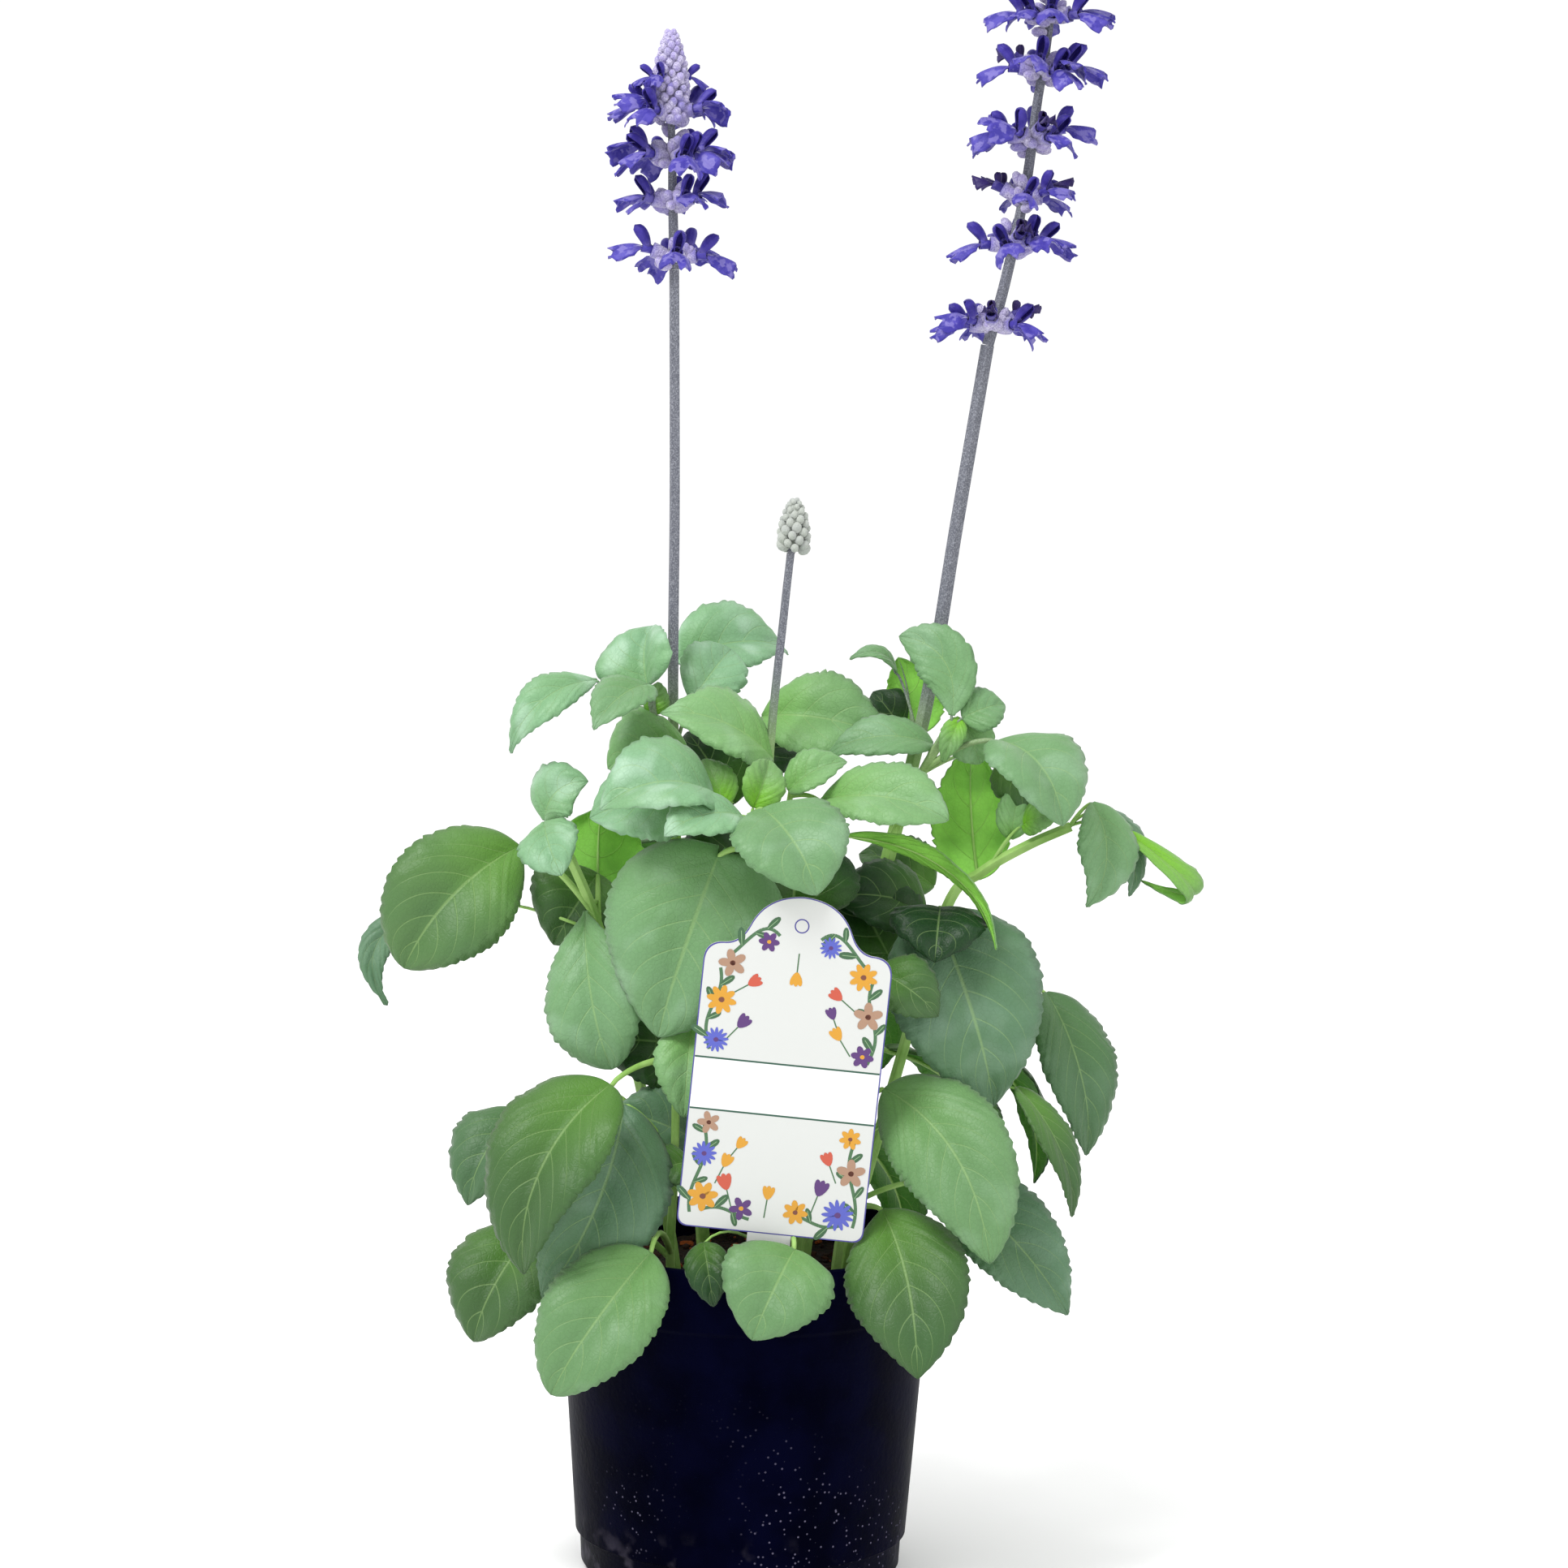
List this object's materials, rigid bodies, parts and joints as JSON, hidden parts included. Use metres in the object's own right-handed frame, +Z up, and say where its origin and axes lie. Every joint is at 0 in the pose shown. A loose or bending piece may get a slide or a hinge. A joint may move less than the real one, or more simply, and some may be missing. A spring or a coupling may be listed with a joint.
{
  "type": "potted flowering plant",
  "caption": "Bushy sage with tall violet-blue flower spikes and toothed leaves, growing in soil in a round dark nursery pot with a label card on a stake.",
  "frame": {"origin": "middle of the pot's flat foot, on the surface that it stands on", "axes": "+Z up along the pot's axis, -Y towards the side that the label card faces, +X to the right of the card seen from the front"},
  "size_m": [0.2866, 0.1848, 0.622],
  "materials": {
    "pot": "satin",
    "soil": "matte",
    "label": "satin",
    "foliage": "matte",
    "flowers": "matte",
    "buds": "matte"
  },
  "bodies": {
    "root": {"pot": "pot", "soil": "soil", "label": "label", "left_flowering_stem": "foliage", "budding_stem": "foliage", "right_flowering_stem": "foliage", "left_leafy_stem": "foliage", "right_leafy_stem": "foliage", "front_left_leafy_stem": "foliage", "front_right_leafy_stem": "foliage", "front_leafy_stem": "foliage", "back_left_leafy_stem": "foliage", "back_right_leafy_stem": "foliage", "left_flower_head": "flowers", "right_flower_head": "flowers", "bud_head": "buds"}
  },
  "joints": []
}
